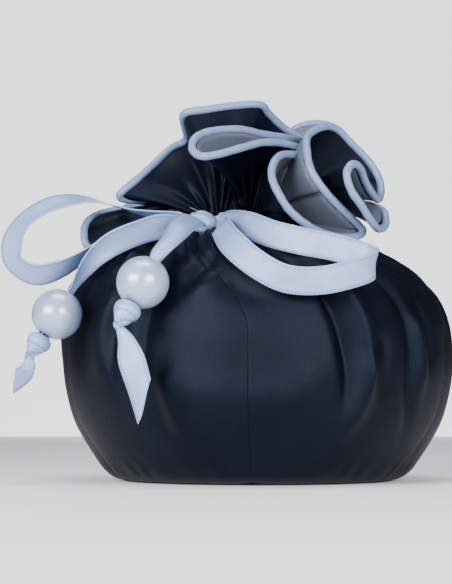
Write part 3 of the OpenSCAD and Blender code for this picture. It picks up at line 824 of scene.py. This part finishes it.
def knot(name, centre, axis, radius, height, body, node, bands, stubs, taper=0.0):
    """A tied knot: a firm core, flat ribbon bands over it, and the ribbons' stubs that run into it.

    Each band is [first angle, angle turned, height at its start, height at its end, width, lift]; angles are
    in degrees about the axis from the direction it faces, heights run from -1 to 1 along the knot."""
    z = unit(np.array(axis, float))
    x = unit(np.array(KNOT_FACING, float) - z * np.dot(KNOT_FACING, z))
    y = np.cross(z, x)

    def place(r, u, v):
        """The points at radius r, angle u and height v of the knot."""
        ring = np.cos(u)[..., None] * x + np.sin(u)[..., None] * y
        return centre + r[..., None] * ring + (height / 2 * v)[..., None] * z

    v = np.linspace(-1, 1, 40)[:, None]
    u = np.linspace(0, 2 * math.pi, 64, endpoint=False)[None, :]
    core_r = spindle_radius(v, radius, taper) * (1 + 0.05 * np.sin(3 * u + 4 * v))
    full = np.ones_like(core_r)
    core = grid_object(name, place(core_r, u * full, v * full), close_cols=True,
                       attrs={"across": 0.2 * full, "along": u * radius * full})
    parts = [core]
    f = np.linspace(0, 1, 48)[:, None]
    q = np.linspace(-1, 1, 11)[None, :]
    ease = np.sin(math.pi * f) ** 0.4
    for first, turned, low, high, width, lift in bands:
        slope = (high - low) * height / 2 / (abs(math.radians(turned)) * radius)
        lean = 1 / math.sqrt(1 + slope * slope)
        angle = np.radians(first + turned * f) - q * width / 2 * slope * lean / radius * np.sign(turned)
        at = low + (high - low) * f + q * width * lean / height
        r = spindle_radius(np.clip(at, -0.9, 0.9), radius, taper) + lift * ease + 0.25 * (1 - q ** 2) - 0.25
        along = f * radius * math.radians(abs(turned)) * np.ones_like(q)
        strip = grid_object(name + "_band", place(r, angle, at),
                            attrs={"across": q * np.ones_like(f), "along": along})
        parts.append(solidify(strip, RIBBON_T, 0.0))
    for route in stubs:
        parts.append(stub(name + "_stub", route, centre))
    join(core, parts)
    set_material(core, RIBBON)
    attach(core, body)
    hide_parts(node)


def from_end(route):
    """A route's last two points, last first."""
    return route[:-3:-1]


BOW_KNOT_AT = np.array([-14.0, -16.2, 62.4])
BOW_KNOT_AXIS = [0.35, 0.0, 0.94]
BOW_BANDS = [[-100, 200, -0.1, 0.25, 4.6, 0.7]]
BOW_STUBS = [LEFT_LOOP[:2], from_end(LEFT_LOOP), RIGHT_LOOP[:2], from_end(RIGHT_LOOP), LEFT_TAIL[:2],
             FRONT_TAIL[:2]]
STOPPER_BANDS = [[-130, 250, -0.5, -0.3, 3.0, 0.75], [-90, 170, -0.35, 0.55, 3.4, 0.4],
                 [95, -160, -0.2, 0.6, 3.0, 0.2]]
STOPPER_TAPER = 0.3
knot("bow_knot_wrap", BOW_KNOT_AT, BOW_KNOT_AXIS, 3.2, 7.4, "pouch", "bow_knot", BOW_BANDS, BOW_STUBS)
knot("left_stopper_wrap", LEFT_KNOT, LEFT_BORE, 1.9, 5.6, "left_tail", "left_stopper_knot",
     STOPPER_BANDS, [LEFT_END[:2]], STOPPER_TAPER)
knot("front_stopper_wrap", FRONT_KNOT, FRONT_BORE, 2.1, 6.2, "front_tail", "front_stopper_knot",
     STOPPER_BANDS, [FRONT_END[:2]], STOPPER_TAPER)

# ---------------------------------------------------------------- the ribbon in the casing
CASING_RIBBON_R = 10.1
CASING_RIBBON_Z = 61.5
CASING_RIBBON_FROM = 239
CASING_RIBBON_TO = 589
CASING_POINTS = 181
CASING_COLS = 7
CASING_STEP = 0.35

casing_turn = np.radians(np.linspace(CASING_RIBBON_FROM, CASING_RIBBON_TO, CASING_POINTS))
casing_line = np.stack([NECK_CENTRE[0] + CASING_RIBBON_R * np.cos(casing_turn),
                        NECK_CENTRE[1] + CASING_RIBBON_R * np.sin(casing_turn),
                        np.full(CASING_POINTS, CASING_RIBBON_Z)], -1)
casing_sides = np.linspace(-1, 1, CASING_COLS)
casing_points = casing_line[:, None] + np.array([0, 0, 1]) * (casing_sides * RIBBON_W / 2)[None, :, None]
casing_along = np.tile(np.arange(float(CASING_POINTS))[:, None] * CASING_STEP, (1, CASING_COLS))
casing_across = np.tile(casing_sides, (CASING_POINTS, 1))
casing_ribbon = grid_object("casing_ribbon", casing_points,
                            attrs={"across": casing_across, "along": casing_along})
solidify(casing_ribbon, RIBBON_T, 0.0)
# The short strand from the bow's knot to the gathers on its right.
STRAND = [[-9.8, -17.4, 63.4, 0, 0.2, 1, 4, 0.3], [-6, -17, 63.2, 0, 0.2, 1, 5, 0.2],
          [-1, -15.9, 62.6, 0, 0.2, 1, 4.8, 0.2], [3.6, -13.6, 61.6, 0, 0.2, 1, 3.6, 0.3]]
strand = ribbon("casing_strand", STRAND)
join(casing_ribbon, [casing_ribbon, strand])
set_material(casing_ribbon, RIBBON)
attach(casing_ribbon, "pouch")
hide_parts("ribbon_in_casing")

# ---------------------------------------------------------------- CAD nodes that stay
KEPT_NODES = {"outer_base": NAVY, "base_board": BOARD, "base_wadding": WADDING, "lining_base": SILVER,
              "casing_stitches_lower": THREAD, "casing_stitches_upper": THREAD}
for node, material in KEPT_NODES.items():
    for material_slot in bpy.data.objects[node].material_slots:
        material_slot.material = material

# ---------------------------------------------------------------- floor, backdrop, light
STUDIO_WHITE = (0.95, 0.97, 1.0, 1)


def stage_plane(name, material_name, corners, color, glow, roughness=0.5):
    """A plain plane of the studio with a faint glow of its own."""
    plane = grid_object(name, np.array(corners, float))
    material = Nodes(material_name)
    material.bsdf.inputs["Base Color"].default_value = (*color, 1)
    material.bsdf.inputs["Roughness"].default_value = roughness
    material.bsdf.inputs["Emission Color"].default_value = STUDIO_WHITE
    material.bsdf.inputs["Emission Strength"].default_value = glow
    set_material(plane, material.mat)


FLOOR_Z = -0.2
BACKDROP_Y = 900
FLOOR_CORNERS = [[[x, y, FLOOR_Z] for x in (-3000, 3000)] for y in (-1500, BACKDROP_Y)]
BACKDROP_CORNERS = [[[x, BACKDROP_Y, z] for x in (-250, 235)] for z in (FLOOR_Z, 600)]
stage_plane("floor", "pale_floor", FLOOR_CORNERS, (0.8, 0.81, 0.83), glow=0.14, roughness=0.8)
stage_plane("backdrop", "white_backdrop", BACKDROP_CORNERS, (0.8, 0.8, 0.8), glow=1.3)

world = bpy.data.worlds.new("studio")
bpy.context.scene.world = world
world.use_nodes = True
background = world.node_tree.nodes["Background"]
background.inputs["Color"].default_value = (0.92, 0.95, 1.0, 1)
background.inputs["Strength"].default_value = 0.10


def softbox(name, at, size, power):
    """A rectangular light that faces the pouch."""
    data = bpy.data.lights.new(name, "AREA")
    data.shape = "RECTANGLE"
    data.size, data.size_y = size
    data.energy = power
    aim(bpy.data.objects.new(name, data), at, POUCH_CENTRE)


POUCH_CENTRE = (0, 0, 0.045)
softbox("key_left", (-0.40, -0.50, 0.22), (0.40, 0.22), 7.6)
softbox("key_right", (0.27, -0.50, 0.17), (0.30, 0.18), 4.2)
softbox("top", (0.0, -0.06, 0.60), (0.40, 0.20), 2.3)
